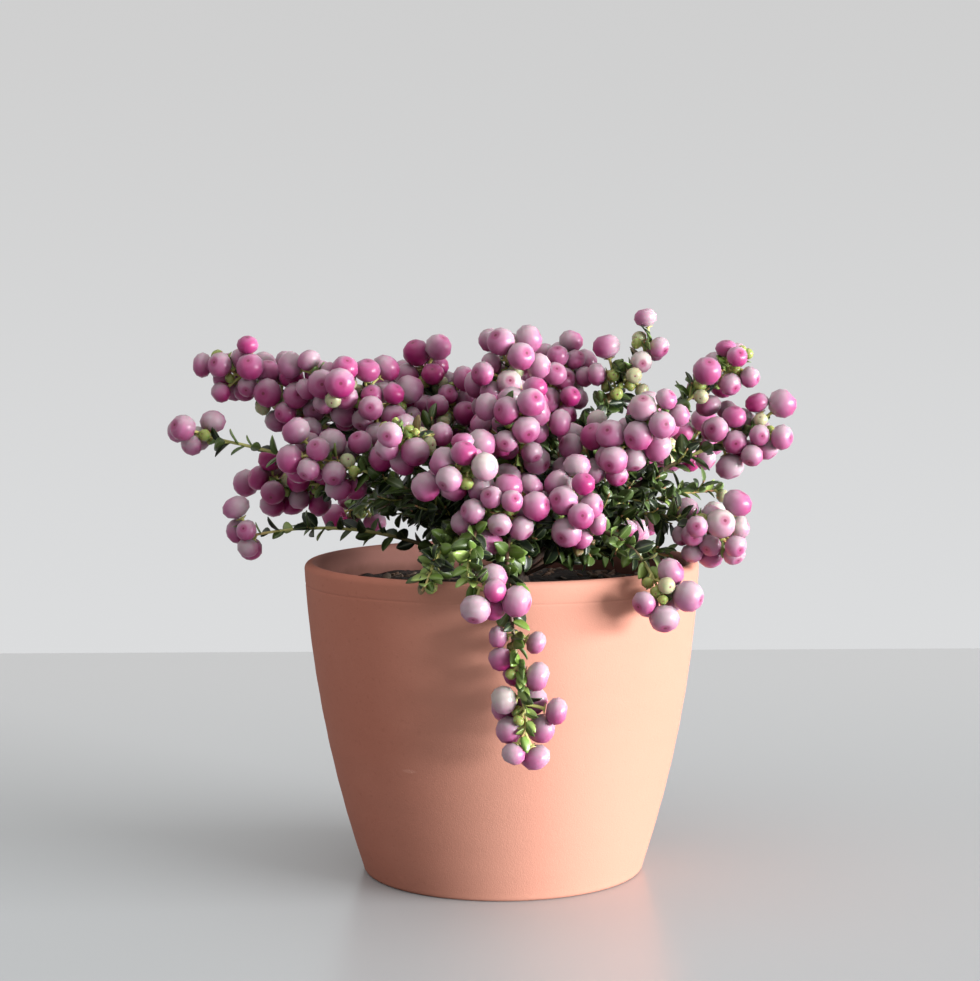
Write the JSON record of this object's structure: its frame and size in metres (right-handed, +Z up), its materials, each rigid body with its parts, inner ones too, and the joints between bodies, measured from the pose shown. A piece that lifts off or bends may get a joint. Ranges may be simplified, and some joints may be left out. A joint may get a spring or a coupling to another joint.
{
  "type": "potted prickly heath",
  "caption": "Low evergreen berry shrub with small pointed leaves and round pink berries, in a plain tapered clay pot.",
  "frame": {"origin": "centre of the pot's flat underside, on the surface it stands on", "axes": "+Z up, +X to the right and +Y away from the viewer, facing the side with the hanging spray"},
  "size_m": [0.2175, 0.19, 0.1988],
  "materials": {
    "clay": "matt unglazed clay",
    "soil": "damp and crumbly",
    "bark": "thin rough bark",
    "foliage": "glossy leaves on thin twigs",
    "berries": "smooth satin skin"
  },
  "bodies": {
    "root": {"bough_back_high": "bark", "bough_back_left_high": "bark", "bough_back_left_low": "bark", "bough_back_low": "bark", "bough_back_right": "bark", "bough_back_right_low": "bark", "bough_centre": "bark", "bough_front_left": "bark", "bough_front_low": "bark", "bough_front_middle": "bark", "bough_hanging": "bark", "bough_left_crest": "bark", "bough_left_dome": "bark", "bough_left_front": "bark", "bough_left_shade": "bark", "bough_left_tip": "bark", "bough_right_centre": "bark", "bough_right_crest": "bark", "bough_right_front_low": "bark", "bough_right_low": "bark", "bough_right_tip": "bark", "bough_right_upper": "bark", "bough_top_middle": "bark", "bough_top_right": "bark", "bough_upper_left": "bark", "pot": "clay", "soil": "soil", "spray_back_high": "foliage", "spray_back_left_high": "foliage", "spray_back_left_low": "foliage", "spray_back_low": "foliage", "spray_back_right": "foliage", "spray_back_right_low": "foliage", "spray_centre": "foliage", "spray_centre_low": "foliage", "spray_centre_right_low": "foliage", "spray_front_left": "foliage", "spray_front_left_low": "foliage", "spray_front_low": "foliage", "spray_front_middle": "foliage", "spray_hanging": "foliage", "spray_left_crest": "foliage", "spray_left_dome": "foliage", "spray_left_front": "foliage", "spray_left_low": "foliage", "spray_left_shade": "foliage", "spray_left_tip": "foliage", "spray_right_centre": "foliage", "spray_right_crest": "foliage", "spray_right_foliage": "foliage", "spray_right_front_low": "foliage", "spray_right_low": "foliage", "spray_right_tip": "foliage", "spray_right_under": "foliage", "spray_right_upper": "foliage", "spray_top_middle": "foliage", "spray_top_right": "foliage", "spray_upper_left": "foliage", "trunk": "bark"}
  },
  "joints": []
}
